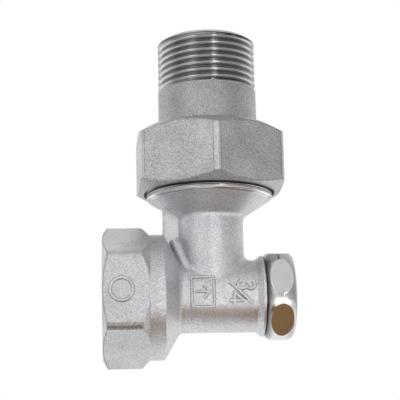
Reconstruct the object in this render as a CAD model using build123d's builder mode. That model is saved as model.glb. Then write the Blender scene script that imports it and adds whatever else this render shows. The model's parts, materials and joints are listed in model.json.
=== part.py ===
"""Angle lockshield radiator valve, 3/4 inch, with a union tail.

The inlet bore lies along X with its mouth facing -X, the cap is at the +X end, and the union tail
points up along +Z. The origin is on the inlet axis, where the full wall of the inlet thread begins.
All sizes are in millimetres.
"""
from build123d import *
import os
from math import cos, radians, sqrt, tan

# Reaches of the body from the crossing of the inlet axis and the tail axis
inlet_reach = 28.4
boss_reach = 13.3
tail_reach = 69.35

# Clearances
screw_clearance = 0.10
running_clearance = 0.05
seal_clearance = 0.03
loose_clearance = 0.30
seat_clearance = 0.20

# Hexagon inlet end
hex_across_flats = 32.5
hex_corner_round = 2.0
hex_length = 10.0
hex_face_radius = 16.3
hex_chamfer_angle = 30.0
collar_radius = 16.35
collar_length = 3.85
collar_edge_round = 0.6
shoulder_angle = 60.0
shoulder_fillet = 1.8

# Inlet thread bore, valve seat and chamber
inlet_thread_radius = 13.22
inlet_entry_chamfer = 1.2
inlet_thread_length = 13.2
drill_point_angle = 118.0
port_radius = 5.5
seat_setback = 7.6
chamber_radius = 7.0
bonnet_bore_radius = 7.8
bonnet_bore_length = 9.3

# Cross tube, boss and neck
tube_radius = 9.44
boss_radius = 10.6
boss_land = 0.5
boss_flare_length = 1.5
neck_inset = 0.69
neck_bore_radius = 6.3
neck_fillet = 1.8

# Union end of the body
union_thread_radius = 16.62
union_top = 36.5
union_runout_groove = 0.3
union_runout_height = 0.8
union_edge_chamfer = 0.6
flare_base = 20.9
flare_top = 26.0
flare_fillet = 2.2
bowl_base = 21.5
bowl_radius = 11.3
bowl_wall_start = 27.5
mouth_radius = 14.5

# Cast web between the neck and the inlet collar
web_reach = 12.6
web_half_thickness = 2.2
web_edge_round = 0.9
web_base = 8.0
web_top = 23.4
rib_radius = 1.9
rib_upper_setback = 9.2
rib_upper_side = 1.6
rib_upper_height = 14.5
rib_lower_setback = 5.5
rib_lower_side = 5.75
rib_lower_height = 4.7

# Union nut
nut_across_flats = 37.5
nut_corner_round = 1.7
nut_base = 27.35
nut_height = 17.1
nut_lip = 4.8
nut_turn = 32.3
nut_base_face_radius = 18.2
nut_top_face_radius = 17.4
nut_base_chamfer_angle = 30.0
nut_top_chamfer_angle = 32.0

# Tailpiece
tail_radius = 13.16
tail_thread_radius = 13.10
tail_thread_length = 14.1
tail_thread_groove = 0.25
tail_end_chamfer = 0.9
tail_bore_radius = 9.0
tail_collar_radius = 15.0
tail_collar_height = 2.7
tail_nose_length = 3.2
tail_lug_height = 1.5
tail_lug_width = 3.0
tail_lug_length = 9.0
tail_lug_setback = 4.0
tail_seal_radius = 0.9

# Bonnet and its seal
bonnet_length = 9.2
spigot_radius = 8.4
spigot_length = 5.8
spindle_bore_radius = 5.0
bonnet_seal_radius = 0.8
bonnet_seal_setback = 1.5
stop_groove_depth = 0.45
stop_groove_setback = 0.15
stop_groove_width = 0.6
stop_ring_opening_radius = 4.3

# Spindle and its seals
spindle_inner_end = 3.2
spindle_outer_end = 18.3
spindle_edge_chamfer = 0.4
key_across_flats = 5.0
key_depth = 6.0
spindle_seal_radius = 0.6
spindle_inner_seal = 9.0
spindle_outer_seal = 11.0
nose_radius = 2.5
nose_length = 2.3

# Closing disc
closing_lift = 4.5
washer_thickness = 2.0
washer_radius = 6.4
holder_plate_radius = 6.5
holder_plate_thickness = 1.6
holder_hub_radius = 4.2
holder_length = 4.1
screw_head_radius = 2.6
screw_head_height = 1.0
screw_shank_radius = 1.5
screw_shank_length = 3.1
screw_slot_width = 0.7
screw_slot_depth = 0.5

# Lockshield cap
cap_length = 7.6
cap_across_flats = 22.3
cap_barrel_radius = 12.2
cap_end_radius = 10.35
cap_barrel_arc = 5.1
cap_turn = 11.0
cap_bore_depth = 6.6
cap_edge_round = 0.6
cap_gasket_width = 2.6

# Places that follow from the sizes above
inlet_face = -inlet_entry_chamfer
neck_radius = tube_radius - neck_inset
tail_x = inlet_face + inlet_reach
hex_sharp_radius = hex_across_flats / 2 / cos(radians(30))
hex_corner_radius = hex_sharp_radius - hex_corner_round * (1 / cos(radians(30)) - 1)
hex_end = inlet_face + hex_length
collar_start = hex_end + hex_corner_radius - collar_radius
collar_end = collar_start + collar_length
shoulder_end = collar_end + (collar_radius - tube_radius) / tan(radians(shoulder_angle))
seat_x = tail_x - seat_setback
drill_rise = (inlet_thread_radius - port_radius) / tan(radians(drill_point_angle / 2))
drill_end = inlet_thread_length + drill_rise
boss_face = tail_x + boss_reach
bonnet_bore_start = boss_face - bonnet_bore_length
spigot_end = boss_face + spigot_length
mouth_base = union_top - (mouth_radius - bowl_radius)
nut_top = nut_base + nut_height
nut_bore_top = nut_top - nut_lip
nut_bore_radius = union_thread_radius + screw_clearance
tail_collar_top = nut_bore_top
tail_collar_base = tail_collar_top - tail_collar_height
nose_top_radius = mouth_radius - seat_clearance - (tail_collar_base - union_top)
nose_end_radius = nose_top_radius - tail_nose_length
tail_thread_start = tail_reach - tail_thread_length
washer_face = seat_x + closing_lift
holder_face = washer_face + washer_thickness
holder_end = holder_face + holder_length
cap_start = boss_face + loose_clearance
cap_end = cap_start + cap_length
cap_floor = cap_start + cap_bore_depth
tail_axis = Axis((tail_x, 0, 0), (0, 0, 1))


def turned(*outline):
    """A closed outline of (x, radius) points, to be turned about the inlet axis."""
    with BuildSketch(Plane.XZ) as profile:
        with BuildLine():
            Polyline(*outline, close=True)
        make_face()
    return profile.sketch


def upright(*outline):
    """A closed outline of (radius, z) points, to be turned about the tail axis."""
    return turned(*[(tail_x + radius, z) for radius, z in outline])


def seal_ring(x, centre_radius, section_radius):
    """The round section of a seal ring on the inlet axis."""
    with BuildSketch(Plane.XZ) as section:
        with Locations((x, centre_radius)):
            Circle(section_radius)
    return section.sketch


def seal_groove(x, outer_radius, floor_radius, half_width):
    """The section of a seal's groove in a shaft on the inlet axis."""
    return turned(
        (x - half_width, floor_radius),
        (x - half_width, outer_radius),
        (x + half_width, outer_radius),
        (x + half_width, floor_radius),
    )


# Valve body: one casting with turned ends and bores
with BuildPart() as valve_body:
    # Cross tube and neck, blended where they meet
    with BuildSketch(Plane.YZ.offset(collar_start)):
        Circle(tube_radius)
    extrude(amount=boss_face - collar_start)
    with BuildSketch(Plane.XY):
        with Locations((tail_x, 0)):
            Circle(neck_radius)
    extrude(amount=flare_top)
    crossing = valve_body.edges(Select.NEW).filter_by(
        lambda edge: edge.center().Z < tube_radius + neck_fillet and edge.geom_type != GeomType.CIRCLE
    )
    fillet(crossing, neck_fillet)

    # Hexagon with turned chamfers at both ends
    with BuildSketch(Plane.YZ.offset(inlet_face)) as hexagon:
        RegularPolygon(hex_across_flats / 2, 6, major_radius=False, rotation=30)
        fillet(hexagon.vertices(), hex_corner_round)
    extrude(amount=collar_start - inlet_face)
    hex_chamfer_length = (hex_sharp_radius - hex_face_radius) * tan(radians(hex_chamfer_angle))
    revolve(
        turned(
            (inlet_face, hex_face_radius),
            (inlet_face + hex_chamfer_length, hex_sharp_radius),
            (inlet_face, hex_sharp_radius),
        ),
        axis=Axis.X,
        mode=Mode.SUBTRACT,
    )
    revolve(
        turned(
            (hex_end, hex_corner_radius),
            (collar_start, collar_radius),
            (collar_start, hex_sharp_radius),
            (hex_end, hex_sharp_radius),
        ),
        axis=Axis.X,
        mode=Mode.SUBTRACT,
    )

    # Round collar and conical shoulder behind the hexagon
    with BuildSketch(Plane.XZ) as shoulder:
        with BuildLine():
            Polyline(
                (hex_end, 0),
                (hex_end, collar_radius),
                (collar_end, collar_radius),
                (shoulder_end, tube_radius),
                (tail_x, tube_radius),
                (tail_x, 0),
                close=True,
            )
        make_face()
        collar_corner = shoulder.vertices().sort_by_distance((collar_end, collar_radius))[0]
        fillet(collar_corner, collar_edge_round)
        shoulder_corner = shoulder.vertices().sort_by_distance((shoulder_end, tube_radius))[0]
        fillet(shoulder_corner, shoulder_fillet)
    revolve(axis=Axis.X)

    # Flared boss behind the cap
    revolve(
        turned(
            (boss_face - boss_land - boss_flare_length, 0),
            (boss_face - boss_land - boss_flare_length, tube_radius),
            (boss_face - boss_land, boss_radius),
            (boss_face, boss_radius),
            (boss_face, 0),
        ),
        axis=Axis.X,
    )

    # Flare from the neck up to the union thread
    with BuildSketch(Plane.XZ) as flare:
        with BuildLine():
            Polyline(
                (tail_x, tube_radius + neck_fillet),
                (tail_x + neck_radius, tube_radius + neck_fillet),
                (tail_x + neck_radius, flare_base),
                (tail_x + union_thread_radius, flare_top),
                (tail_x + union_thread_radius, union_top),
                (tail_x, union_top),
                close=True,
            )
        make_face()
        flare_corner = flare.vertices().sort_by_distance((tail_x + neck_radius, flare_base))[0]
        fillet(flare_corner, flare_fillet)
        union_corner = flare.vertices().sort_by_distance((tail_x + union_thread_radius, union_top))[0]
        chamfer(union_corner, union_edge_chamfer)
    revolve(axis=tail_axis)
    groove_base = nut_base - union_runout_height
    revolve(
        upright(
            (union_thread_radius - union_runout_groove, groove_base + union_runout_groove),
            (union_thread_radius, groove_base),
            (union_thread_radius, groove_base + 2 * union_runout_groove),
        ),
        axis=tail_axis,
        mode=Mode.SUBTRACT,
    )

    # Cast web in the corner between the neck and the collar
    with BuildSketch(Plane.XY.offset(web_base)) as web:
        with Locations((tail_x - web_reach / 2, 0)):
            Rectangle(web_reach, 2 * web_half_thickness)
        fillet(web.vertices().group_by(Axis.X)[0], web_edge_round)
    extrude(amount=web_top - web_base)

    # Slanting ribs from the web down to the tube, one on each side
    rib_start = Vector(tail_x - rib_upper_setback, rib_upper_side, rib_upper_height)
    rib_stop = Vector(tail_x - rib_lower_setback, rib_lower_side, rib_lower_height)
    rib_run = rib_stop - rib_start
    with BuildSketch(Plane(origin=rib_start, z_dir=rib_run)):
        Circle(rib_radius)
    rib = extrude(amount=rib_run.length)
    mirror(rib, about=Plane.XZ)

    # Inlet bore, port, seat, chamber and bonnet bore
    revolve(
        turned(
            (inlet_face, 0),
            (inlet_face, inlet_thread_radius + inlet_entry_chamfer),
            (0, inlet_thread_radius),
            (inlet_thread_length, inlet_thread_radius),
            (drill_end, port_radius),
            (seat_x, port_radius),
            (seat_x, chamber_radius),
            (bonnet_bore_start, chamber_radius),
            (bonnet_bore_start, bonnet_bore_radius),
            (boss_face, bonnet_bore_radius),
            (boss_face, 0),
        ),
        axis=Axis.X,
        mode=Mode.SUBTRACT,
    )

    # Neck bore, bowl and union seat
    revolve(
        upright(
            (0, 0),
            (neck_bore_radius, 0),
            (neck_bore_radius, bowl_base),
            (bowl_radius, bowl_wall_start),
            (bowl_radius, mouth_base),
            (mouth_radius, union_top),
            (0, union_top),
        ),
        axis=tail_axis,
        mode=Mode.SUBTRACT,
    )

# Union nut: hexagon with turned chamfers, a threaded bore and a lip that holds the tail's collar
with BuildPart() as union_nut:
    nut_sharp_radius = nut_across_flats / 2 / cos(radians(30))
    with BuildSketch(Plane.XY.offset(nut_base)) as nut_hexagon:
        with Locations((tail_x, 0)):
            RegularPolygon(nut_across_flats / 2, 6, major_radius=False, rotation=nut_turn)
        fillet(nut_hexagon.vertices(), nut_corner_round)
    extrude(amount=nut_height)
    base_rise = (nut_sharp_radius - nut_base_face_radius) * tan(radians(nut_base_chamfer_angle))
    top_rise = (nut_sharp_radius - nut_top_face_radius) * tan(radians(nut_top_chamfer_angle))
    revolve(
        upright(
            (nut_base_face_radius, nut_base),
            (nut_sharp_radius, nut_base + base_rise),
            (nut_sharp_radius, nut_base),
        ),
        axis=tail_axis,
        mode=Mode.SUBTRACT,
    )
    revolve(
        upright(
            (nut_top_face_radius, nut_top),
            (nut_sharp_radius, nut_top - top_rise),
            (nut_sharp_radius, nut_top),
        ),
        axis=tail_axis,
        mode=Mode.SUBTRACT,
    )
    lip_radius = tail_radius + loose_clearance
    revolve(
        upright(
            (0, nut_base),
            (nut_bore_radius + union_edge_chamfer, nut_base),
            (nut_bore_radius, nut_base + union_edge_chamfer),
            (nut_bore_radius, nut_bore_top),
            (lip_radius, nut_bore_top),
            (lip_radius, nut_top),
            (0, nut_top),
        ),
        axis=tail_axis,
        mode=Mode.SUBTRACT,
    )

# Tailpiece: cone nose, collar under the nut's lip, plain barrel and thread
nose_middle = (nose_top_radius + nose_end_radius) / 2
nose_middle_z = tail_collar_base - tail_nose_length / 2
seal_depth = tail_seal_radius + seal_clearance
seal_half_width = tail_seal_radius + loose_clearance / 3
diagonal = 1 / sqrt(2)
seal_inset = seal_depth * diagonal
with BuildPart() as tailpiece:
    revolve(
        upright(
            (0, tail_collar_base - tail_nose_length),
            (nose_end_radius, tail_collar_base - tail_nose_length),
            (nose_top_radius, tail_collar_base),
            (tail_collar_radius, tail_collar_base),
            (tail_collar_radius, tail_collar_top),
            (tail_radius, tail_collar_top),
            (tail_radius, tail_thread_start - tail_thread_groove),
            (tail_thread_radius - tail_thread_groove, tail_thread_start),
            (tail_thread_radius, tail_thread_start + tail_thread_groove),
            (tail_thread_radius, tail_reach - tail_end_chamfer),
            (tail_thread_radius - tail_end_chamfer, tail_reach),
            (0, tail_reach),
        ),
        axis=tail_axis,
    )
    with BuildSketch(Plane.XY.offset(tail_collar_base - tail_nose_length)):
        with Locations((tail_x, 0)):
            Circle(tail_bore_radius)
    extrude(amount=tail_reach - tail_collar_base + tail_nose_length, mode=Mode.SUBTRACT)
    # Groove for the seal ring, square to the cone nose
    groove_along = seal_half_width * diagonal
    groove_into = 2 * seal_depth * diagonal
    revolve(
        upright(
            (nose_middle - groove_along, nose_middle_z - groove_along),
            (nose_middle + groove_along, nose_middle_z + groove_along),
            (nose_middle + groove_along - groove_into, nose_middle_z + groove_along + groove_into),
            (nose_middle - groove_along - groove_into, nose_middle_z - groove_along + groove_into),
        ),
        axis=tail_axis,
        mode=Mode.SUBTRACT,
    )
    # Two lugs in the bore, where a key turns the tail into its thread
    lug_reach = tail_bore_radius + tail_lug_height
    with BuildSketch(Plane.XY.offset(tail_reach - tail_lug_setback)):
        with Locations((tail_x, 0)):
            Rectangle(2 * lug_reach, tail_lug_width)
            Circle(tail_bore_radius - tail_lug_height, mode=Mode.SUBTRACT)
    extrude(amount=-tail_lug_length)

# Seal ring in the tail's cone nose
with BuildPart() as tail_o_ring:
    with BuildSketch(Plane.XZ):
        with Locations((tail_x + nose_middle - seal_inset, nose_middle_z + seal_inset)):
            Circle(tail_seal_radius)
    revolve(axis=tail_axis)

# Bonnet: guides the spindle, with a spigot that carries the cap
bonnet_seal_x = boss_face - bonnet_seal_setback
bonnet_radius = bonnet_bore_radius - running_clearance
bonnet_seal_centre = bonnet_radius - bonnet_seal_radius
stop_groove_end = spigot_end - stop_groove_setback
with BuildPart() as bonnet:
    revolve(
        turned(
            (boss_face - bonnet_length, spindle_bore_radius),
            (boss_face - bonnet_length, bonnet_radius),
            (boss_face, bonnet_radius),
            (boss_face, spigot_radius),
            (spigot_end, spigot_radius),
            (spigot_end, spindle_bore_radius),
            (stop_groove_end, spindle_bore_radius),
            (stop_groove_end, spindle_bore_radius + stop_groove_depth),
            (stop_groove_end - stop_groove_width, spindle_bore_radius + stop_groove_depth),
            (stop_groove_end - stop_groove_width, spindle_bore_radius),
        ),
        axis=Axis.X,
    )
    revolve(
        seal_groove(
            bonnet_seal_x,
            bonnet_radius,
            bonnet_seal_centre - bonnet_seal_radius - seal_clearance,
            bonnet_seal_radius + running_clearance,
        ),
        axis=Axis.X,
        mode=Mode.SUBTRACT,
    )

with BuildPart() as bonnet_o_ring:
    revolve(seal_ring(bonnet_seal_x, bonnet_seal_centre, bonnet_seal_radius), axis=Axis.X)

# Ring that stops the spindle at the bonnet's mouth
stop_ring_radius = spindle_bore_radius + stop_groove_depth - running_clearance
stop_ring_end = stop_groove_end - running_clearance
stop_ring_start = stop_groove_end - stop_groove_width + running_clearance
with BuildPart() as stop_ring:
    revolve(
        turned(
            (stop_ring_end, stop_ring_opening_radius),
            (stop_ring_end, stop_ring_radius),
            (stop_ring_start, stop_ring_radius),
            (stop_ring_start, stop_ring_opening_radius),
        ),
        axis=Axis.X,
    )

# Spindle with a key socket at its outer end and a nose in the disc holder
spindle_radius = spindle_bore_radius - running_clearance
spindle_seal_centre = spindle_bore_radius - seal_clearance - spindle_seal_radius
spindle_start = tail_x + spindle_inner_end
spindle_end = tail_x + spindle_outer_end
with BuildPart() as spindle:
    revolve(
        turned(
            (spindle_start - nose_length, 0),
            (spindle_start - nose_length, nose_radius),
            (spindle_start, nose_radius),
            (spindle_start, spindle_radius - spindle_edge_chamfer),
            (spindle_start + spindle_edge_chamfer, spindle_radius),
            (spindle_end - spindle_edge_chamfer, spindle_radius),
            (spindle_end, spindle_radius - spindle_edge_chamfer),
            (spindle_end, 0),
        ),
        axis=Axis.X,
    )
    for place in (spindle_inner_seal, spindle_outer_seal):
        revolve(
            seal_groove(
                tail_x + place,
                spindle_radius,
                spindle_seal_centre - spindle_seal_radius - seal_clearance,
                spindle_seal_radius + running_clearance,
            ),
            axis=Axis.X,
            mode=Mode.SUBTRACT,
        )
    with BuildSketch(Plane.YZ.offset(spindle_end)):
        RegularPolygon(key_across_flats / 2, 6, major_radius=False)
    extrude(amount=-key_depth, mode=Mode.SUBTRACT)

with BuildPart() as spindle_o_ring_inner:
    revolve(seal_ring(tail_x + spindle_inner_seal, spindle_seal_centre, spindle_seal_radius), axis=Axis.X)

with BuildPart() as spindle_o_ring_outer:
    revolve(seal_ring(tail_x + spindle_outer_seal, spindle_seal_centre, spindle_seal_radius), axis=Axis.X)

# Disc holder: a plate for the washer and a hub that turns on the spindle's nose
screw_hole_radius = screw_shank_radius + running_clearance
screw_tip = washer_face + screw_shank_length
nose_hole_start = spindle_start - nose_length - running_clearance
with BuildPart() as disc_holder:
    revolve(
        turned(
            (holder_face, screw_hole_radius),
            (holder_face, holder_plate_radius),
            (holder_face + holder_plate_thickness, holder_plate_radius),
            (holder_face + holder_plate_thickness, holder_hub_radius),
            (holder_end, holder_hub_radius),
            (holder_end, nose_radius + running_clearance),
            (nose_hole_start, nose_radius + running_clearance),
            (nose_hole_start, 0),
            (screw_tip + running_clearance, 0),
            (screw_tip + running_clearance, screw_hole_radius),
        ),
        axis=Axis.X,
    )

with BuildPart() as seat_washer:
    with BuildSketch(Plane.YZ.offset(washer_face)):
        Circle(washer_radius)
        Circle(screw_hole_radius, mode=Mode.SUBTRACT)
    extrude(amount=washer_thickness)

# Slotted screw that holds the washer
with BuildPart() as washer_screw:
    revolve(
        turned(
            (washer_face - screw_head_height, 0),
            (washer_face - screw_head_height, screw_head_radius),
            (washer_face, screw_head_radius),
            (washer_face, screw_shank_radius),
            (screw_tip, screw_shank_radius),
            (screw_tip, 0),
        ),
        axis=Axis.X,
    )
    with BuildSketch(Plane.YZ.offset(washer_face - screw_head_height)):
        Rectangle(2 * screw_head_radius, screw_slot_width)
    extrude(amount=screw_slot_depth, mode=Mode.SUBTRACT)

# Lockshield cap: a barrel turned with a ridge round its middle, with six flats cut across it
cap_middle = (cap_start + cap_end) / 2
cap_bore_radius = spigot_radius + screw_clearance
with BuildPart() as lockshield_cap:
    with BuildSketch(Plane.XZ) as barrel:
        with BuildLine():
            RadiusArc((cap_start, cap_end_radius), (cap_middle, cap_barrel_radius), cap_barrel_arc)
            RadiusArc((cap_middle, cap_barrel_radius), (cap_end, cap_end_radius), cap_barrel_arc)
            Polyline(
                (cap_end, cap_end_radius),
                (cap_end, 0),
                (cap_start, 0),
                (cap_start, cap_end_radius),
            )
        make_face()
        fillet(barrel.vertices().sort_by_distance((cap_end, cap_end_radius))[0], cap_edge_round)
    revolve(axis=Axis.X)
    with BuildSketch(Plane.YZ.offset(cap_start)):
        RegularPolygon(cap_across_flats / 2, 6, major_radius=False, rotation=cap_turn)
    extrude(amount=cap_length, mode=Mode.INTERSECT)
    with BuildSketch(Plane.YZ.offset(cap_start)):
        Circle(cap_bore_radius)
    extrude(amount=cap_bore_depth, mode=Mode.SUBTRACT)

# Flat ring between the bonnet's spigot and the cap's floor
with BuildPart() as cap_gasket:
    with BuildSketch(Plane.YZ.offset(spigot_end)):
        Circle(spigot_radius - screw_clearance)
        Circle(spigot_radius - screw_clearance - cap_gasket_width, mode=Mode.SUBTRACT)
    extrude(amount=cap_floor - spigot_end)

os.makedirs("parts", exist_ok=True)
pieces = {
    "valve_body": valve_body,
    "bonnet": bonnet,
    "bonnet_o_ring": bonnet_o_ring,
    "stop_ring": stop_ring,
    "spindle": spindle,
    "spindle_o_ring_inner": spindle_o_ring_inner,
    "spindle_o_ring_outer": spindle_o_ring_outer,
    "disc_holder": disc_holder,
    "seat_washer": seat_washer,
    "washer_screw": washer_screw,
    "lockshield_cap": lockshield_cap,
    "cap_gasket": cap_gasket,
    "union_nut": union_nut,
    "tailpiece": tailpiece,
    "tail_o_ring": tail_o_ring,
}
for name, piece in pieces.items():
    piece.part.label = name
    export_step(piece.part, f"parts/{name}.step")
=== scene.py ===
import json
from math import cos, pi, radians, sin, sqrt

import bmesh
import bpy
from mathutils import Matrix, Vector


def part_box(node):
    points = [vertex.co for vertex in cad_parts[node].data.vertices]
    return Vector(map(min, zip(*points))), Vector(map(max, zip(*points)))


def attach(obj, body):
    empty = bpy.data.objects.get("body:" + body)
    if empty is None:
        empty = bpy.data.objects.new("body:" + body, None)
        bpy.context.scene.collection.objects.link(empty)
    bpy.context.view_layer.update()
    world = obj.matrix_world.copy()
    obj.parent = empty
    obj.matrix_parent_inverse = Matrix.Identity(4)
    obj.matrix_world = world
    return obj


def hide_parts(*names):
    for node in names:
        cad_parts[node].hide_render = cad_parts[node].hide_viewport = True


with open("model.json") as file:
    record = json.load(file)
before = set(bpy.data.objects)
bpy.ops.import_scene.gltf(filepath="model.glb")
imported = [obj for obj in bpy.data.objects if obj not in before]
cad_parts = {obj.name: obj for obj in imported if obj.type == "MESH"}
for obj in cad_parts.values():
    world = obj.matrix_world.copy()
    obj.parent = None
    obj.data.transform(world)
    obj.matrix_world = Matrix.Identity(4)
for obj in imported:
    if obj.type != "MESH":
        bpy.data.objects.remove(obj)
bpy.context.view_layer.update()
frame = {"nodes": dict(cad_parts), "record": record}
nodes = frame["nodes"]

MM = 0.001

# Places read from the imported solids
nut_low, nut_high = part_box("union_nut")
tail_low, tail_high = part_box("tailpiece")
cap_low, cap_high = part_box("lockshield_cap")
TAIL_X = (tail_low.x + tail_high.x) / 2
COLLAR_RADIUS = (tail_high.x - tail_low.x) / 2

# Camera of the photograph: place relative to the crossing of the two axes, turn and lens
CAMERA_SIDE = -24.0 * MM
CAMERA_DISTANCE = 333.0 * MM
CAMERA_HEIGHT = -45.0 * MM
CAMERA_YAW = radians(3.7)
CAMERA_PITCH = radians(12.0)
CAMERA_ROLL = radians(-1.3)
CAMERA_CLIP_START = 10.0 * MM
FOCAL_PIXELS = 1284.0
IMAGE_PIXELS = 400.0
SENSOR_WIDTH = 36.0

# Fineness of the meshes, and the angles in degrees over which their edges stay sharp
ROUND = 144
ROWS_PER_TURN = 18
MERGE_DISTANCE = 1e-7
THREAD_SHARP_ANGLE = 32
CAP_SHARP_ANGLE = 35

# Tailpiece sizes that its box doesn't give; crest, root and run-in are shares of the pitch
TAIL_RADIUS = 13.16 * MM
THREAD_RADIUS = 13.10 * MM
THREAD_PITCH = 1.814 * MM
THREAD_DEPTH = 1.12 * MM
THREAD_LENGTH = 14.1 * MM
THREAD_CREST = 0.14
THREAD_ROOT = 0.04
THREAD_RUN_IN = 0.35
TAIL_END_CHAMFER = 0.9 * MM
TAIL_BARREL_GAP = 0.1 * MM
TAIL_BORE = 9.0 * MM
TAIL_BORE_EDGE = 0.4 * MM
TAIL_COLLAR_HEIGHT = 2.7 * MM
TAIL_COLLAR_EDGE = 0.2 * MM
NOSE_LENGTH = 3.2 * MM
NOSE_END_RADIUS = 10.65 * MM
NOSE_SEAL_RADIUS = 0.93 * MM
NOSE_SEAL_HALF_WIDTH = 1.0 * MM
LUG_HEIGHT = 1.5 * MM
LUG_WIDTH = 3.0 * MM
LUG_LENGTH = 9.0 * MM
LUG_SETBACK = 4.0 * MM
LUG_SINK = 0.5 * MM
BLOCK_FACES = ((0, 1, 2, 3), (4, 5, 6, 7), (0, 1, 5, 4), (1, 2, 6, 5), (2, 3, 7, 6), (3, 0, 4, 7))

# Inlet thread, whose ridges are sunk a little in the wall
INLET_RADIUS = 13.22 * MM
INLET_THREAD_LENGTH = 13.2 * MM
INLET_WALL_SINK = 0.05 * MM

# Surfaces that carry raised marks
HEX_FLAT_Y = -16.25 * MM
TUBE_RADIUS = 9.44 * MM

# Lockshield cap
CAP_APOTHEM = 11.15 * MM
CAP_BARREL_RADIUS = 12.2 * MM
CAP_END_RADIUS = 10.35 * MM
CAP_ARC = 5.1 * MM
CAP_FACET_TURN = radians(41)
CAP_BORE = 8.5 * MM
CAP_BORE_DEPTH = 6.6 * MM
CAP_EDGE = 0.5 * MM
CAP_CENTRE_RADIUS = 0.01 * MM
CAP_ROUND = 540
CAP_ROWS = 76
CAP_EDGE_ROWS = 8

# Raised marks, in millimetres: x from the tail axis, z up from the tube's axis
MARK_BEVEL_STEPS = 3
RING_CENTRE = (-23.5, 0.15)
RING_RADIUS = 2.85
RING_STROKE = 0.95
RING_STEPS = 64
FRAME_LEFT, FRAME_RIGHT = -5.65, 0.0
FRAME_LOW, FRAME_HIGH = -3.7, 4.0
FRAME_STROKE = 0.8
ARROW_INSET = 1.0
ARROW_HEAD = 1.7
SLASH = ((4.1, 2.6), (9.9, -3.0))
# Each bow of the 3: its centre, radius, and the degrees where it starts and ends
THREE_BOWS = (
    ((9.4, 1.85), 1.1, 75, -175),
    ((7.25, 1.85), 1.05, -5, -255),
)
FOUR_LOW, FOUR_TOP = 4.0, 7.7
FOUR_LEFT, FOUR_RIGHT = -0.2, -3.2
FOUR_BAR, FOUR_STEM = 0.32, 0.68
SIZE_STROKE = 1.05

# Noise of the finishes: how fine it is, and the ranges of it that carry a whole change
NOISE_DETAIL = 3.0
NOISE_ROUGHNESS = 0.5
GRAIN_ROUGHNESS = 0.65
GRAIN_RANGE = (0.35, 0.65)
MOTTLE_RANGE = (0.33, 0.67)
WIDE_RANGE = (0.3, 0.7)
SMEAR_SIZE = 2.5 * MM
CLOUD_SIZE = 7 * MM
CLOUD_DETAIL = 2.0
CLOUD_SHARE = 0.12

# Blasted nickel: its tones, and the grain's width and height in millimetres
NICKEL_DARK = (0.28, 0.29, 0.31)
NICKEL_LIGHT = (0.97, 0.98, 1.0)
SATIN_ROUGHNESS = (0.5, 0.36)
SATIN_GRAIN = 0.2
SATIN_HEIGHT = 0.045
BODY_TONE = 1.0
NUT_TONE = 0.77
NUT_CONTRAST = 1.4
MARK_TONE = 1.0
TAIL_TONE = 0.67
TAIL_GRAIN = 0.24
TAIL_HEIGHT = 0.07

# Painted tones: the widths over which most of their edges fade
SHARP_FADE = 0.04 * MM
SOFT_FADE = 0.1 * MM

# Thin lines beside the chamfers of the two hexagons
CHAMFER_LINE_START = 0.02 * MM
CHAMFER_LINE_END = 0.4 * MM
CHAMFER_LINE_FADE = 0.3 * MM
CHAMFER_LINE_SHARE = 0.8
FLAT_MARGIN = 0.05 * MM

# Edges of the inlet's hexagon, with a painted reflection of the brown table top in brown specks that are
# strongest low on the front
INLET_FACE = -1.2 * MM
HEX_FACE_RADIUS = 16.3 * MM
HEX_CHAMFER_SLOPE = sqrt(3)
HEX_EDGE_RADIUS = 18.19 * MM
HEX_EDGE_FADE = 0.12 * MM
HEX_END = 9.0 * MM
HEX_END_FADE = 0.4 * MM
EDGE_HEIGHTS = (-2 * MM, 2 * MM)
EDGE_HEIGHT_SHARES = (0.95, 0.12)
EDGE_DEPTHS = (-4 * MM, 0)
EDGE_DEPTH_SHARES = (1, 0.15)
EDGE_SPECK_SIZE = 0.4 * MM
EDGE_SPECK_RANGE = (0.36, 0.6)
EDGE_SPECK_SHARES = (0.25, 1)
EDGE_REFLECTION_TONE = (0.26, 0.215, 0.17)

# Slightly darker inlet end
INLET_END = 12.0 * MM
INLET_FADE = 2 * MM
INLET_SHARE = 0.12
INLET_TONE = (0.2, 0.2, 0.2)

# Turned ring of the body, its tool lines in relief with painted shade along them, painted shade in the groove
# over it, and the union thread, under the nut
RING_START = 25.35 * MM
RING_TONE = (0.70, 0.70, 0.70)
RING_ROUGHNESS_CHANGE = -0.25
TOOL_LINE_PITCH = 0.62 * MM
TOOL_LINE_RANGE = (0.5, 0.95)
TOOL_LINE_SHARES = (0, 0.55)
TOOL_LINE_HEIGHT = 0.03
TOOL_LINE_SHADE_TONE = (0.10, 0.10, 0.11)
SHADE_START = 26.92 * MM
SHADE_FADE = 0.06 * MM
SHADE_TONE = (0.02, 0.02, 0.025)
UNION_THREAD_START = 27.4 * MM
UNION_RUN_IN = 0.3 * MM
UNION_PITCH = 2.309 * MM
UNION_RELIEF = 1.6

# Nut: painted shade in the threaded bore, a painted highlight on the corners, specked lines at the rim of the
# corners and beside the chamfers
NUT_BORE_EDGE = 17.35 * MM
NUT_LIP = 4.8 * MM
NUT_BORE_SHADE_TONE = (0.035, 0.035, 0.04)
NUT_CORNER_START = 21.17 * MM
NUT_CORNER_SHARE = 0.25
NUT_CORNER_HIGHLIGHT_TONE = (0.85, 0.85, 0.86)
NUT_RIM_WIDTH = 0.14 * MM
NUT_APOTHEM = 18.75 * MM
NUT_BASE_FACE = 18.2 * MM
NUT_BASE_SLOPE = sqrt(3)
NUT_TOP_FACE = 17.4 * MM
NUT_TOP_SLOPE = 1.6
NUT_SPECK_SIZE = 0.35 * MM
NUT_SPECK_RANGE = (0.42, 0.6)
NUT_SPECK_SHARES = (0.1, 0.85)
NUT_LINE_TONE = (0.16, 0.15, 0.14)

# Painted shade at the foot of the raised marks
MARK_FOOT = 0.24 * MM
MARK_FOOT_SHADE_TONE = (0.09, 0.09, 0.09)
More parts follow.
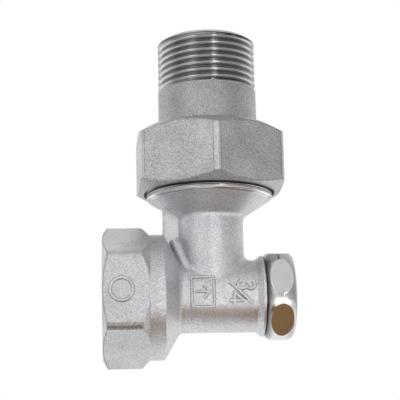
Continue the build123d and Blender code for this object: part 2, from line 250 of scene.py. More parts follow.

# Tail thread: painted shade in the grooves and darker beige crests, up to a little under its end
GROOVE_SHADE_TONE = (0.21, 0.21, 0.23)
CREST_DEPTH = 0.14 * MM
CREST_SHARE = 0.8
CREST_TONE = (0.40, 0.375, 0.34)
THREAD_TINT_END = 1.3 * MM
THREAD_TINT_FADE = 0.3 * MM

# Cap's painted reflections of the darker room: axis and range of the surface direction, strength and tone of
# each darker side
CAP_PAINTED_REFLECTIONS = (
    ("X", (-0.42, -0.7), 1, (0.17, 0.17, 0.18)),
    ("X", (0.2, 0.5), 0.6, (0.30, 0.30, 0.31)),
    ("Z", (0.55, 0.8), 0.75, (0.22, 0.22, 0.23)),
)

# Bright metals: dark and light tone, roughness, axis of the tool lines, their pitch and height in millimetres
BRIGHT_METALS = {
    "bright_nickel": ((0.62, 0.61, 0.59), (0.72, 0.71, 0.69), (0.12, 0.2), "Z", 0.16, 0.002),
    "polished_chrome": ((0.69, 0.68, 0.67), (0.75, 0.74, 0.73), (0.12, 0.17), "X", 0.3, 0.0006),
    "turned_brass": ((0.62, 0.44, 0.18), (0.74, 0.56, 0.28), (0.2, 0.32), "X", 0.2, 0.003),
    "spring_steel": ((0.36, 0.36, 0.37), (0.5, 0.5, 0.51), (0.25, 0.4), "X", 0.15, 0.002),
    "tail_thread": ((0.58, 0.585, 0.61), (0.69, 0.695, 0.72), (0.13, 0.19), "Z", 0.16, 0.002),
}

# Matt surfaces: dark and light tone, roughness, width and height of the grain in millimetres
DULL_SURFACES = {
    "black_rubber": ((0.012, 0.012, 0.013), (0.035, 0.035, 0.036), (0.5, 0.7), 0.3, 0.01),
    "fibre": ((0.36, 0.10, 0.06), (0.52, 0.18, 0.11), (0.65, 0.85), 0.25, 0.02),
    "pale_floor": ((0.80, 0.80, 0.80), (0.84, 0.84, 0.84), (0.6, 0.8), 8.0, 0.0),
    "brown_card": ((0.30, 0.165, 0.07), (0.36, 0.20, 0.09), (0.7, 0.9), 4.0, 0.0),
}

# Studio: a pale floor, and a brown table top that only shows in reflections
FLOOR_HEIGHT = -62 * MM
FLOOR_CORNERS = ((-3.0, -3.0), (3.0, -3.0), (3.0, 3.0), (-3.0, 3.0))
TABLE_HEIGHT = -60 * MM
TABLE_CORNERS = (
    (-0.080, -0.100),
    (0.130, -0.066),
    (0.130, 0.060),
    (0.046, 0.003),
    (0.030, -0.032),
    (-0.080, -0.032),
)

# Light round the part: azimuth from the front, to the right, and elevation, half-angles of the full and
# the faded cone, all in degrees, and strength
AMBIENT = 0.545
LIGHT_ZONES = (
    ("back", 180, 10, 30, 75, 0.44),
    ("back_left", -120, 5, 15, 40, 0.47),
    ("back_right", 120, 5, 15, 40, 0.21),
    ("front_left", -45, 15, 8, 30, 0.34),
    ("front", 0, 5, 8, 28, 0.04),
    ("front_up", 0, 45, 10, 32, 0.18),
    ("left_up", -60, 50, 10, 35, 0.08),
    ("top", 0, 90, 10, 40, 0.15),
    ("spot_left", -40, 30, 4, 14, 1.57),
    ("spot_right", 19, 18, 2, 9, 3.3),
)
WHITE = (1.0, 1.0, 1.0)

# Lamps: place and size in metres, power in watts; the strip faces the part, and those under it face up
STRIP_PLACE = (0.189, -0.60, 0.15)
STRIP_TARGET = (TAIL_X, 0, 40 * MM)
STRIP_WIDTH, STRIP_HEIGHT = 0.03, 0.6
STRIP_POWER = 0.20
UNDER_HEIGHT = TABLE_HEIGHT + 2 * MM
UNDER_LAMPS = (
    ("under_back", 0.03, 0.14, 0.36, 0.28, 0.13),
    ("under_left", -0.19, 0.05, 0.22, 0.40, 0.10),
    ("under_right", 0.25, 0.05, 0.22, 0.40, 0.16),
    ("under_front", 0.03, -0.19, 0.36, 0.22, 0.20),
)


class Shading:
    """The nodes of a material or of the world, with short calls that add to them."""

    def __init__(self, owner):
        self.nodes = owner.node_tree.nodes
        self.links = owner.node_tree.links
        self.shader = self.nodes.get("Principled BSDF")

    def put(self, value, socket):
        """A value on a socket: another socket, a colour or a number."""
        if isinstance(value, bpy.types.NodeSocket):
            self.links.new(value, socket)
        elif isinstance(value, tuple):
            socket.default_value = (*value, 1.0)
        else:
            socket.default_value = value

    def coordinates(self, kind="Object"):
        """Sockets of the object's own coordinates or normals: the whole vector, then x, y and z."""
        whole = self.nodes.new("ShaderNodeTexCoord").outputs[kind]
        split = self.nodes.new("ShaderNodeSeparateXYZ")
        self.links.new(whole, split.inputs[0])
        return whole, split.outputs["X"], split.outputs["Y"], split.outputs["Z"]

    def math(self, operation, *values):
        """One Math node, from sockets or numbers."""
        node = self.nodes.new("ShaderNodeMath")
        node.operation = operation
        for value, socket in zip(values, node.inputs):
            self.put(value, socket)
        return node.outputs[0]

    def plus(self, first, second):
        return self.math("ADD", first, second)

    def minus(self, first, second):
        return self.math("SUBTRACT", first, second)

    def times(self, first, *others):
        for other in others:
            first = self.math("MULTIPLY", first, other)
        return first

    def most(self, first, *others):
        for other in others:
            first = self.math("MAXIMUM", first, other)
        return first

    def from_axis(self, first, second):
        """Distance from an axis, from the two coordinates across it."""
        return self.math("SQRT", self.plus(self.times(first, first), self.times(second, second)))

    def waves(self, value, pitch):
        """A sine along a coordinate."""
        return self.math("SINE", self.times(value, 2 * pi / pitch))

    def noise(self, point, size, detail=NOISE_DETAIL, roughness=NOISE_ROUGHNESS):
        """Noise whose features are about one size wide, in metres."""
        node = self.nodes.new("ShaderNodeTexNoise")
        self.links.new(point, node.inputs["Vector"])
        node.inputs["Scale"].default_value = 1.0 / size
        node.inputs["Detail"].default_value = detail
        node.inputs["Roughness"].default_value = roughness
        return node.outputs["Fac"]

    def spread(self, value, source, target=(0, 1)):
        """A value of a source range carried over to a target range, and kept inside it."""
        node = self.nodes.new("ShaderNodeMapRange")
        node.clamp = True
        self.links.new(value, node.inputs["Value"])
        for name, number in zip(("From Min", "From Max", "To Min", "To Max"), (*source, *target)):
            node.inputs[name].default_value = number
        return node.outputs["Result"]

    def over(self, value, start, fade, share=1):
        """A mask: 0 up to a start, and a share of 1 after a fade."""
        return self.spread(value, (start, start + fade), (0, share))

    def under(self, value, start, fade, share=1):
        """A mask: a share of 1 up to a start, and 0 after a fade."""
        return self.spread(value, (start, start + fade), (share, 0))

    def blend(self, factor, first, second):
        """A colour between two colours."""
        node = self.nodes.new("ShaderNodeMix")
        node.data_type = "RGBA"
        for value, name in ((factor, "Factor"), (first, "A"), (second, "B")):
            self.put(value, node.inputs[name])
        return node.outputs["Result"]

    def coat(self, colour, roughness, height):
        """The shader's colour, roughness and relief, whose height is in millimetres."""
        bump = self.nodes.new("ShaderNodeBump")
        bump.inputs["Distance"].default_value = MM
        self.links.new(height, bump.inputs["Height"])
        inputs = self.shader.inputs
        self.links.new(colour, inputs["Base Color"])
        self.links.new(roughness, inputs["Roughness"])
        self.links.new(bump.outputs["Normal"], inputs["Normal"])

    def tint(self, mask, colour):
        """Another base colour where a mask is 1."""
        socket = self.shader.inputs["Base Color"]
        self.links.new(self.blend(mask, socket.links[0].from_socket, colour), socket)

    def beside_chamfer(self, radius, from_face, face_radius, slope, apothem):
        """Mask of a thin line on a hexagon's flats, just beside the turned chamfer of one of its faces."""
        cone = self.plus(self.times(from_face, slope), face_radius)
        inside = self.minus(cone, radius)
        return self.times(
            self.over(inside, CHAMFER_LINE_START, SHARP_FADE),
            self.under(inside, CHAMFER_LINE_END, CHAMFER_LINE_FADE, CHAMFER_LINE_SHARE),
            self.over(radius, apothem - FLAT_MARGIN, SHARP_FADE),
        )


def new_material(name, metallic):
    """A node material with a plain shader."""
    material = bpy.data.materials.new(name)
    material.use_nodes = True
    material.node_tree.nodes["Principled BSDF"].inputs["Metallic"].default_value = metallic
    return material


def satin_nickel(name, tone, contrast=1.0, grain_width=SATIN_GRAIN, grain_height=SATIN_HEIGHT):
    """Blasted nickel plate of an average tone: fine grain and faint clouds."""
    material = new_material(name, 1.0)
    paint = Shading(material)
    point = paint.coordinates()[0]
    grain = paint.noise(point, grain_width * MM, roughness=GRAIN_ROUGHNESS)
    clouds = paint.noise(point, CLOUD_SIZE, detail=CLOUD_DETAIL)
    mottle = paint.plus(paint.times(grain, 1 - CLOUD_SHARE), paint.times(clouds, CLOUD_SHARE))
    dark, light = [], []
    for low, high in zip(NICKEL_DARK, NICKEL_LIGHT):
        middle, half = (low + high) / 2, (high - low) / 2
        dark.append(tone * (middle - contrast * half))
        light.append(tone * (middle + contrast * half))
    colour = paint.blend(paint.spread(mottle, MOTTLE_RANGE), tuple(dark), tuple(light))
    roughness = paint.spread(grain, GRAIN_RANGE, SATIN_ROUGHNESS)
    paint.coat(colour, roughness, paint.times(grain, grain_height))
    return material


def forged_nut(name):
    """The nut's blasted nickel: painted shade in its threaded bore, a painted highlight on its corners, lined
    at its edges.
    """
    material = satin_nickel(name, NUT_TONE, NUT_CONTRAST)
    paint = Shading(material)
    point, x, y, z = paint.coordinates()
    radius = paint.from_axis(paint.minus(x, TAIL_X), y)
    # Painted shade in the threaded bore
    inside = paint.under(radius, NUT_BORE_EDGE, SOFT_FADE)
    below = paint.under(z, nut_high.z - NUT_LIP, SOFT_FADE)
    paint.tint(paint.times(inside, below), NUT_BORE_SHADE_TONE)
    # Painted highlight on the corners
    corner = paint.over(radius, NUT_CORNER_START - SHARP_FADE, SOFT_FADE, NUT_CORNER_SHARE)
    paint.tint(corner, NUT_CORNER_HIGHLIGHT_TONE)
    rim = paint.times(
        paint.over(radius, NUT_CORNER_START - NUT_RIM_WIDTH, SHARP_FADE),
        paint.under(radius, NUT_CORNER_START - SHARP_FADE / 2, SHARP_FADE),
    )
    from_base = paint.minus(z, nut_low.z)
    from_top = paint.minus(nut_high.z, z)
    base_line = paint.beside_chamfer(radius, from_base, NUT_BASE_FACE, NUT_BASE_SLOPE, NUT_APOTHEM)
    top_line = paint.beside_chamfer(radius, from_top, NUT_TOP_FACE, NUT_TOP_SLOPE, NUT_APOTHEM)
    grain = paint.noise(point, NUT_SPECK_SIZE, roughness=GRAIN_ROUGHNESS)
    specks = paint.spread(grain, NUT_SPECK_RANGE, NUT_SPECK_SHARES)
    paint.tint(paint.times(paint.most(rim, base_line, top_line), specks), NUT_LINE_TONE)
    return material


def raised_nickel(name, tube):
    """The body's nickel on a raised mark, with painted shade at its foot: on the cross tube or on the
    hexagon's flat.
    """
    material = satin_nickel(name, MARK_TONE)
    paint = Shading(material)
    _, _, y, z = paint.coordinates()
    height = paint.minus(paint.from_axis(y, z), TUBE_RADIUS) if tube else paint.minus(HEX_FLAT_Y, y)
    # Painted shade at the foot of the mark
    paint.tint(paint.under(height, 0, MARK_FOOT), MARK_FOOT_SHADE_TONE)
    return material


def cast_body(name):
    """The body's blasted nickel: bright ring and screw thread at its union end, painted shade in its groove
    and along its tool lines, and specked edges with a painted reflection.
    """
    material = satin_nickel(name, BODY_TONE)
    paint = Shading(material)
    point, x, y, z = paint.coordinates()

    # Ring with its tool lines, painted shade in the groove over it and painted shade along the tool lines
    turned = paint.over(z, RING_START - SOFT_FADE / 2, SOFT_FADE)
    paint.tint(turned, RING_TONE)
    roughness = paint.shader.inputs["Roughness"]
    smoother = paint.plus(roughness.links[0].from_socket, paint.times(turned, RING_ROUGHNESS_CHANGE))
    paint.links.new(smoother, roughness)
    groove = paint.times(
        paint.over(z, SHADE_START, SHADE_FADE),
        paint.under(z, UNION_THREAD_START + SOFT_FADE, SOFT_FADE),
    )
    paint.tint(groove, SHADE_TONE)
    tool_lines = paint.waves(z, TOOL_LINE_PITCH)
    # Painted shade along the ring's tool lines
    dark_lines = paint.spread(tool_lines, TOOL_LINE_RANGE, TOOL_LINE_SHARES)
    paint.tint(paint.times(dark_lines, turned), TOOL_LINE_SHADE_TONE)

    # Inlet end, and the painted reflection of the brown table top on the edges of its hexagon
    paint.tint(paint.under(x, INLET_END, INLET_FADE, INLET_SHARE), INLET_TONE)
    from_tube = paint.from_axis(y, z)
    # Painted reflection of the brown table top, in brown specks on the hexagon's edges
    rounded = paint.times(
        paint.over(from_tube, HEX_EDGE_RADIUS - HEX_EDGE_FADE / 2, HEX_EDGE_FADE),
        paint.spread(z, EDGE_HEIGHTS, EDGE_HEIGHT_SHARES),
        paint.spread(y, EDGE_DEPTHS, EDGE_DEPTH_SHARES),
    )
    from_face = paint.minus(x, INLET_FACE)
    beside = paint.beside_chamfer(from_tube, from_face, HEX_FACE_RADIUS, HEX_CHAMFER_SLOPE, -HEX_FLAT_Y)
    on_hexagon = paint.under(x, HEX_END, HEX_END_FADE)
    grain = paint.noise(point, EDGE_SPECK_SIZE, roughness=GRAIN_ROUGHNESS)
    specks = paint.spread(grain, EDGE_SPECK_RANGE, EDGE_SPECK_SHARES)
    paint.tint(paint.times(paint.most(rounded, beside), on_hexagon, specks), EDGE_REFLECTION_TONE)

    # Relief: the cast grain, and over the ring the tool lines and the thread
    relief = paint.shader.inputs["Normal"].links[0].from_node.inputs["Height"]
    cast = paint.times(relief.links[0].from_socket, paint.minus(1.0, turned))
    around = paint.math("ARCTAN2", y, paint.minus(x, TAIL_X))
    turns = paint.minus(paint.math("DIVIDE", z, UNION_PITCH), paint.math("DIVIDE", around, 2 * pi))
    threaded = paint.over(z, UNION_THREAD_START, UNION_RUN_IN, UNION_RELIEF)
    ridges = paint.times(paint.math("PINGPONG", turns, 0.5), threaded)
    cut = paint.plus(ridges, paint.times(tool_lines, TOOL_LINE_HEIGHT))
    paint.links.new(paint.plus(cast, paint.times(cut, turned)), relief)
    return material


def bright_metal(name):
    """Machined or polished metal with fine tool lines round one axis."""
    dark, light, roughness, axis, line_pitch, line_height = BRIGHT_METALS[name]
    material = new_material(name, 1.0)
    paint = Shading(material)
    point, x, _, z = paint.coordinates()
    lines = paint.waves(x if axis == "X" else z, line_pitch * MM)
    smears = paint.noise(point, SMEAR_SIZE)
    colour = paint.blend(paint.spread(smears, WIDE_RANGE), dark, light)
    paint.coat(colour, paint.spread(smears, WIDE_RANGE, roughness), paint.times(lines, line_height))
    return material


def thread_metal(name):
    """Cut thread of the tail: painted shade down in the grooves, and darker beige on the crests."""
    material = bright_metal(name)
    paint = Shading(material)
    _, x, y, z = paint.coordinates()
    radius = paint.from_axis(paint.minus(x, TAIL_X), y)
    below_end = paint.under(z, tail_high.z - THREAD_TINT_END, THREAD_TINT_FADE)
    # Painted shade in the grooves
    depth = paint.under(radius, THREAD_RADIUS - THREAD_DEPTH, THREAD_DEPTH - SOFT_FADE)
    paint.tint(paint.times(depth, below_end), GROOVE_SHADE_TONE)
    crest = paint.over(radius, THREAD_RADIUS - CREST_DEPTH, SOFT_FADE, CREST_SHARE)
    paint.tint(paint.times(crest, below_end), CREST_TONE)
    return material


def polished_barrel(name):
    """Polished chrome with painted reflections: its rounded sides are painted darker by their direction, for
    the darker room beside the part.
    """
    material = bright_metal(name)
    paint = Shading(material)
    _, x, _, z = paint.coordinates("Normal")
    # Painted reflections: darker sides by the surface's direction
    for axis, directions, share, tone in CAP_PAINTED_REFLECTIONS:
        paint.tint(paint.spread(x if axis == "X" else z, directions, (0, share)), tone)
    return material


def dull(name):
    """Rubber, fibre or card: mottled and matt."""
    dark, light, roughness, grain_width, grain_height = DULL_SURFACES[name]
    material = new_material(name, 0.0)
    paint = Shading(material)
    grain = paint.noise(paint.coordinates()[0], grain_width * MM)
    colour = paint.blend(paint.spread(grain, GRAIN_RANGE), dark, light)
    paint.coat(colour, paint.spread(grain, WIDE_RANGE, roughness), paint.times(grain, grain_height))
    return material


# Materials by the record's slots, and those of single pieces
finishes = {
    "satin_nickel": cast_body("satin_nickel"),
    "bright_nickel": bright_metal("bright_nickel"),
    "polished_chrome": polished_barrel("polished_chrome"),
    "turned_brass": bright_metal("turned_brass"),
    "spring_steel": bright_metal("spring_steel"),
    "black_rubber": dull("black_rubber"),
    "fibre": dull("fibre"),
}
forged_nickel = forged_nut("forged_nickel")
tube_mark_nickel = raised_nickel("tube_mark_nickel", True)
flat_mark_nickel = raised_nickel("flat_mark_nickel", False)
tail_nickel = satin_nickel("tail_nickel", TAIL_TONE, grain_width=TAIL_GRAIN, grain_height=TAIL_HEIGHT)
tail_thread = thread_metal("tail_thread")
for entry in frame["record"]["subparts"]:
    finish = forged_nickel if entry["node"] == "union_nut" else finishes[entry["material_slot"]]
    materials = nodes[entry["node"]].data.materials
    materials.clear()
    materials.append(finish)


def groove_share(phase):
    """How deep a thread is at a share of its pitch: 0 on the crest, 1 in the root."""
    from_crest = 1 - abs(2 * phase - 1)
    slope = (from_crest - THREAD_CREST) / (1 - THREAD_CREST - THREAD_ROOT)
    share = min(1.0, max(0.0, slope))
    return share * share * (3 - 2 * share)


def helix_rows(start, end, radius_at):
    """Rows of (radius, angle, height) that follow a right-hand helix from start to end."""
    turns = (end - start) / THREAD_PITCH
    rows = []
    for row in range(-ROWS_PER_TURN, int(turns * ROWS_PER_TURN) + 2):
        share = row / ROWS_PER_TURN
        line = []
        for step in range(ROUND + 1):
            turn = step / ROUND
            height = min(end, max(start, start + THREAD_PITCH * (share + turn)))
            line.append((radius_at(height, share % 1.0), 2 * pi * turn, height))
        rows.append(line)
    return rows


def ring_row(radius, height, steps=ROUND):
    """One level ring."""
    return [(radius, 2 * pi * step / steps, height) for step in range(steps + 1)]


def upright_place(radius, angle, height):
    """A point round the tail's axis."""
    return TAIL_X + radius * cos(angle), radius * sin(angle), height


def level_place(radius, angle, height):
    """A point round the axis of the inlet and the cap."""
    return height, radius * cos(angle), radius * sin(angle)


def turned_mesh(name, rows, place, blocks=()):
    """A closed mesh from rows of points round an axis; place turns (radius, angle, height) into a point.

    Each block is eight more corners, the lower four in order and then the upper four."""
    mesh = bmesh.new()
    grid = [[mesh.verts.new(place(*point)) for point in row] for row in rows]
    for upper, lower in zip(grid, grid[1:] + grid[:1]):
        for step in range(len(upper) - 1):
            mesh.faces.new((upper[step], upper[step + 1], lower[step + 1], lower[step]))
    bmesh.ops.remove_doubles(mesh, verts=mesh.verts, dist=MERGE_DISTANCE)
    bmesh.ops.dissolve_degenerate(mesh, edges=mesh.edges, dist=MERGE_DISTANCE)
    for block in blocks:
        corners = [mesh.verts.new(corner) for corner in block]
        for face in BLOCK_FACES:
            mesh.faces.new([corners[index] for index in face])
    bmesh.ops.recalc_face_normals(mesh, faces=mesh.faces)
    data = bpy.data.meshes.new(name)
    mesh.to_mesh(data)
    mesh.free()
    return linked(name, data)


def linked(name, data):
    """An object of its data, in the scene."""
    item = bpy.data.objects.new(name, data)
    bpy.context.scene.collection.objects.link(item)
    return item


def shade_smooth(piece, angle):
    """Smooth shading with sharp edges over an angle in degrees."""
    piece.data.shade_smooth()
    piece.data.set_sharp_from_angle(angle=radians(angle))


def dressed(piece, body, slot, *materials):
    """A finished piece: its materials and the body it rides on; the slot argument is not used."""
    for material in materials:
        piece.data.materials.append(material)
    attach(piece, body)


def lug_blocks(top):
    """Corners of the two lugs in the tail's bore, below a height."""
    blocks = []
    half = LUG_WIDTH / 2
    for side in (-1, 1):
        inner = TAIL_X + side * (TAIL_BORE - LUG_HEIGHT)
        outer = TAIL_X + side * (TAIL_BORE + LUG_SINK)
        plan = [(inner, -half), (outer, -half), (outer, half), (inner, half)]
        blocks.append([(x, y, z) for z in (top - LUG_LENGTH, top) for x, y in plan])
    return blocks


def make_tailpiece():
    """The tailpiece with its real thread, and the lugs in its bore."""
    nose_base = tail_low.z
    end = tail_high.z
    collar_base = nose_base + NOSE_LENGTH
    collar_top = collar_base + TAIL_COLLAR_HEIGHT
    thread_start = end - THREAD_LENGTH
    thread_end = end - TAIL_END_CHAMFER
    nose_top_radius = NOSE_END_RADIUS + NOSE_LENGTH
    middle_radius = (NOSE_END_RADIUS + nose_top_radius) / 2
    middle_height = nose_base + NOSE_LENGTH / 2
    along = NOSE_SEAL_HALF_WIDTH / sqrt(2)
    into = 2 * NOSE_SEAL_RADIUS / sqrt(2)

    def thread_radius(height, phase):
        run_in = min(1.0, (height - thread_start) / (THREAD_RUN_IN * THREAD_PITCH))
        return THREAD_RADIUS - THREAD_DEPTH * groove_share(phase) * max(0.0, run_in)

    outline = [
        (NOSE_END_RADIUS, nose_base),
        (middle_radius - along, middle_height - along),
        (middle_radius - along - into, middle_height - along + into),
        (middle_radius + along - into, middle_height + along + into),
        (middle_radius + along, middle_height + along),
        (nose_top_radius, collar_base),
        (COLLAR_RADIUS - TAIL_COLLAR_EDGE, collar_base),
        (COLLAR_RADIUS, collar_base + TAIL_COLLAR_EDGE),
        (COLLAR_RADIUS, collar_top - TAIL_COLLAR_EDGE),
        (COLLAR_RADIUS - TAIL_COLLAR_EDGE, collar_top),
        (TAIL_RADIUS, collar_top),
        (TAIL_RADIUS, thread_start - TAIL_BARREL_GAP),
    ]
    inside = [
        (THREAD_RADIUS - THREAD_DEPTH, end),
        (TAIL_BORE + TAIL_BORE_EDGE, end),
        (TAIL_BORE, end - TAIL_BORE_EDGE),
        (TAIL_BORE, nose_base),
    ]
    rows = [ring_row(*point) for point in outline]
    rows += helix_rows(thread_start, thread_end, thread_radius)
    rows += [ring_row(*point) for point in inside]
    tail = turned_mesh("threaded_tail", rows, upright_place, lug_blocks(end - LUG_SETBACK))
    shade_smooth(tail, THREAD_SHARP_ANGLE)
    for face in tail.data.polygons:
        face.material_index = 1 if face.center.z > thread_start - TAIL_BARREL_GAP / 2 else 0
    dressed(tail, "tail", "bright_nickel", tail_nickel, tail_thread)
    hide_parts("tailpiece")


def make_inlet_thread():
    """Ridges of the inlet's female thread."""
    def ridge_radius(height, phase):
        run_in = min(1.0, height / THREAD_PITCH, (INLET_THREAD_LENGTH - height) / THREAD_PITCH)
        return INLET_RADIUS - THREAD_DEPTH * (1 - groove_share(phase)) * max(0.0, run_in)

    wall = INLET_RADIUS + INLET_WALL_SINK
    rows = [ring_row(wall, 0.0)]
    rows += helix_rows(0.0, INLET_THREAD_LENGTH, ridge_radius)
    rows += [ring_row(wall, INLET_THREAD_LENGTH)]
    thread = turned_mesh("inlet_thread_ridges", rows, level_place)
    shade_smooth(thread, THREAD_SHARP_ANGLE)
    dressed(thread, "valve", "bright_nickel", finishes["bright_nickel"])


def make_cap():
    """The lockshield cap, with a fine surface for its polish."""
    start, end = cap_low.x, cap_high.x
    half = (end - start) / 2
    rise = CAP_BARREL_RADIUS - CAP_END_RADIUS
    chord = sqrt(half ** 2 + rise ** 2)
    offset = sqrt(CAP_ARC ** 2 - chord ** 2 / 4)
    arc_x = half / 2 + offset * rise / chord
    arc_radius = CAP_END_RADIUS + rise / 2 - offset * half / chord

    def barrel(x):
        """Radius of the barrel: the same arc rises from both ends to the ridge."""
        along = min(x - start, end - x)
        return arc_radius + sqrt(max(0.0, CAP_ARC ** 2 - (along - arc_x) ** 2))

    def faceted_row(x, limit):
        """A ring of six flats, rounded where it reaches a limit."""
        line = []
        for step in range(CAP_ROUND + 1):
            angle = 2 * pi * step / CAP_ROUND
            turn = (angle - CAP_FACET_TURN + pi / 6) % (pi / 3) - pi / 6
            line.append((min(limit, CAP_APOTHEM / cos(turn)), angle, x))
        return line

    floor = start + CAP_BORE_DEPTH
    inside = [(CAP_CENTRE_RADIUS, floor), (CAP_BORE, floor), (CAP_BORE, start)]
    rows = [ring_row(radius, x, CAP_ROUND) for radius, x in inside]
    side_end = end - CAP_EDGE
    for step in range(CAP_ROWS + 1):
        x = start + (side_end - start) * step / CAP_ROWS
        rows.append(faceted_row(x, barrel(x)))
    edge_radius = barrel(side_end)
    for step in range(1, CAP_EDGE_ROWS + 1):
        share = step / CAP_EDGE_ROWS
        x = side_end + CAP_EDGE * (1 - (1 - share) ** 2)
        corner = (1 - share) ** 2 * edge_radius + 2 * share * (1 - share) * CAP_END_RADIUS
        rows.append(faceted_row(x, corner + share ** 2 * (CAP_END_RADIUS - CAP_EDGE)))
    rows.append(ring_row(CAP_CENTRE_RADIUS, end, CAP_ROUND))
    cap = turned_mesh("polished_cap", rows, level_place)
    shade_smooth(cap, CAP_SHARP_ANGLE)
    dressed(cap, "cap", "polished_chrome", finishes["polished_chrome"])
    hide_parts("lockshield_cap")


def raised_lines(name, material, strokes, width, closed=False):
    """A raised cast mark: round ridges half sunk in the surface, along strokes of points in the row frame."""
    data = bpy.data.curves.new(name, "CURVE")
    data.dimensions = "3D"
    data.bevel_depth = width / 2
    data.bevel_resolution = MARK_BEVEL_STEPS
    data.use_fill_caps = True
    for stroke in strokes:
        line = data.splines.new("POLY")
        line.points.add(len(stroke) - 1)
        for point, where in zip(line.points, stroke):
            point.co = (*where, 1.0)
        line.use_cyclic_u = closed
    curve = linked(name + "_line", data)
    bpy.context.view_layer.update()
    mesh = bpy.data.meshes.new_from_object(curve.evaluated_get(bpy.context.evaluated_depsgraph_get()))
    bpy.data.objects.remove(curve)
    mesh.materials.clear()
    piece = linked(name, mesh)
    piece.data.shade_smooth()
    dressed(piece, "valve", "satin_nickel", material)


def on_tube(lines):
    """Lines on the front of the cross tube, from points in millimetres: x from the tail axis, z up."""
    def raised(x, z):
        return TAIL_X + x * MM, -sqrt(TUBE_RADIUS ** 2 - (z * MM) ** 2), z * MM

    return [[raised(*point) for point in line] for line in lines]


def arc(centre, radius, start, end, steps=14):
    """Points of an arc of (x, z), with its angles in degrees."""
    angles = [radians(start + (end - start) * step / steps) for step in range(steps + 1)]
    return [(centre[0] + radius * cos(angle), centre[1] + radius * sin(angle)) for angle in angles]


def divided(*corners, steps=6):
    """Points along straight runs between corners."""
    points = [corners[0]]
    for (x0, z0), (x1, z1) in zip(corners, corners[1:]):
        shares = [step / steps for step in range(1, steps + 1)]
        points += [(x0 + (x1 - x0) * share, z0 + (z1 - z0) * share) for share in shares]
    return points


def four_point(across, up):
    """A point of the figure 4 from shares of its width and height, on its side."""
    return FOUR_LOW + (FOUR_TOP - FOUR_LOW) * up, FOUR_LEFT + (FOUR_RIGHT - FOUR_LEFT) * across


def make_marks():
    """An empty ring on the hexagon's flat; on the tube the threads' size and a frame with a flow arrow."""
    circle = arc(RING_CENTRE, RING_RADIUS, 0, 360, RING_STEPS)[:-1]
    ring = [(TAIL_X + x * MM, HEX_FLAT_Y, z * MM) for x, z in circle]
    raised_lines("ring_mark", flat_mark_nickel, [ring], RING_STROKE * MM, closed=True)

    # Reading downwards: a raised 3, a slash and a lowered 4
    size_lines = [
        divided(*SLASH),
        [point for bow in THREE_BOWS for point in arc(*bow)],
        divided(four_point(FOUR_STEM, 1), four_point(0, FOUR_BAR), four_point(1, FOUR_BAR)),
        divided(four_point(FOUR_STEM, 1), four_point(FOUR_STEM, 0)),
    ]
    raised_lines("size_mark", tube_mark_nickel, on_tube(size_lines), SIZE_STROKE * MM)

    corners = [
        (FRAME_LEFT, FRAME_HIGH),
        (FRAME_RIGHT, FRAME_HIGH),
        (FRAME_RIGHT, FRAME_LOW),
        (FRAME_LEFT, FRAME_LOW),
    ]
    middle = (FRAME_LOW + FRAME_HIGH) / 2
    tip = (FRAME_RIGHT - ARROW_INSET, middle)
    barb_x = tip[0] - ARROW_HEAD
    flow_lines = [
        divided(*corners, corners[0]),
        divided((FRAME_LEFT + ARROW_INSET, middle), tip),
        divided((barb_x, middle + ARROW_HEAD), tip, (barb_x, middle - ARROW_HEAD)),
    ]
    raised_lines("flow_mark", tube_mark_nickel, on_tube(flow_lines), FRAME_STROKE * MM)


def make_camera():
    """The camera at the photograph's angle."""
    level_share = cos(CAMERA_PITCH)
    forward = Vector((sin(CAMERA_YAW) * level_share, cos(CAMERA_YAW) * level_share, sin(CAMERA_PITCH)))
    level = Vector((cos(CAMERA_YAW), -sin(CAMERA_YAW), 0))
    upright = level.cross(forward)
    right = cos(CAMERA_ROLL) * level + sin(CAMERA_ROLL) * upright
    up = -sin(CAMERA_ROLL) * level + cos(CAMERA_ROLL) * upright
    data = bpy.data.cameras.new("camera")
    data.sensor_width = SENSOR_WIDTH
    data.lens = FOCAL_PIXELS / IMAGE_PIXELS * SENSOR_WIDTH
    data.clip_start = CAMERA_CLIP_START
    camera = linked("camera", data)
    turn = Matrix((right, up, -forward)).transposed().to_4x4()
    place = Vector((TAIL_X + CAMERA_SIDE, -CAMERA_DISTANCE, CAMERA_HEIGHT))
    camera.matrix_world = Matrix.Translation(place) @ turn
    bpy.context.scene.camera = camera


def flat_sheet(name, corners, height, material):
    """A level sheet of the stage."""
    data = bpy.data.meshes.new(name)
    data.from_pydata([(x, y, height) for x, y in corners], [], [tuple(range(len(corners)))])
    data.materials.append(material)
    sheet = linked(name, data)
    return sheet


def make_stage():
    """The floor, and the card that stands for the photograph's table."""
    flat_sheet("floor", FLOOR_CORNERS, FLOOR_HEIGHT, dull("pale_floor"))
    table = flat_sheet("table_card", TABLE_CORNERS, TABLE_HEIGHT, dull("brown_card"))
    table.visible_camera = False
    table.visible_diffuse = False
    table.visible_shadow = False


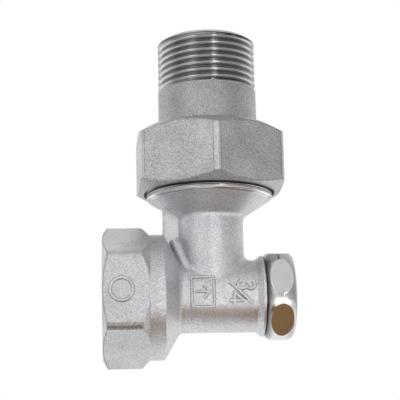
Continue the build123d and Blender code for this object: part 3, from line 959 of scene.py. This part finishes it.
def make_world():
    """White to the camera, and to reflections behind the part; elsewhere the sum of the light zones."""
    world = bpy.data.worlds.new("studio")
    bpy.context.scene.world = world
    world.use_nodes = True
    paint = Shading(world)
    direction = paint.nodes.new("ShaderNodeTexCoord").outputs["Generated"]
    total = AMBIENT
    zones = {}
    for name, azimuth, elevation, inner, outer, strength in LIGHT_ZONES:
        turn, rise = radians(azimuth), radians(elevation)
        toward = paint.nodes.new("ShaderNodeVectorMath")
        toward.operation = "DOT_PRODUCT"
        paint.links.new(direction, toward.inputs[0])
        toward.inputs[1].default_value = (sin(turn) * cos(rise), -cos(turn) * cos(rise), sin(rise))
        zone = paint.spread(toward.outputs["Value"], (cos(radians(outer)), cos(radians(inner))))
        zone.node.interpolation_type = "SMOOTHSTEP"
        zones[name] = zone
        total = paint.plus(paint.times(zone, strength), total)
    rays = paint.nodes.new("ShaderNodeLightPath").outputs
    mirrored = paint.most(rays["Is Glossy Ray"], rays["Is Transmission Ray"])
    backdrop = paint.most(rays["Is Camera Ray"], paint.times(mirrored, zones["back"]))
    paint.links.new(paint.blend(backdrop, total, WHITE), paint.nodes["Background"].inputs["Color"])


def soft_lamp(name, place, target, width, height, power):
    """A rectangular lamp that faces a target and that the camera doesn't see."""
    data = bpy.data.lights.new(name, "AREA")
    data.shape = "RECTANGLE"
    data.size = width
    data.size_y = height
    data.energy = power
    lamp = linked(name, data)
    lamp.location = place
    lamp.rotation_euler = (Vector(target) - Vector(place)).to_track_quat("-Z", "Y").to_euler()
    lamp.visible_camera = False


def make_lamps():
    """The strip lamp in front of the part and the lamps under it."""
    soft_lamp("strip_lamp", STRIP_PLACE, STRIP_TARGET, STRIP_WIDTH, STRIP_HEIGHT, STRIP_POWER)
    for name, x, y, width, depth, power in UNDER_LAMPS:
        soft_lamp(name, (x, y, UNDER_HEIGHT), (x, y, 1.0), width, depth, power)


make_tailpiece()
make_inlet_thread()
make_cap()
make_marks()
make_camera()
make_stage()
make_world()
make_lamps()
bpy.context.scene.view_settings.view_transform = "Standard"
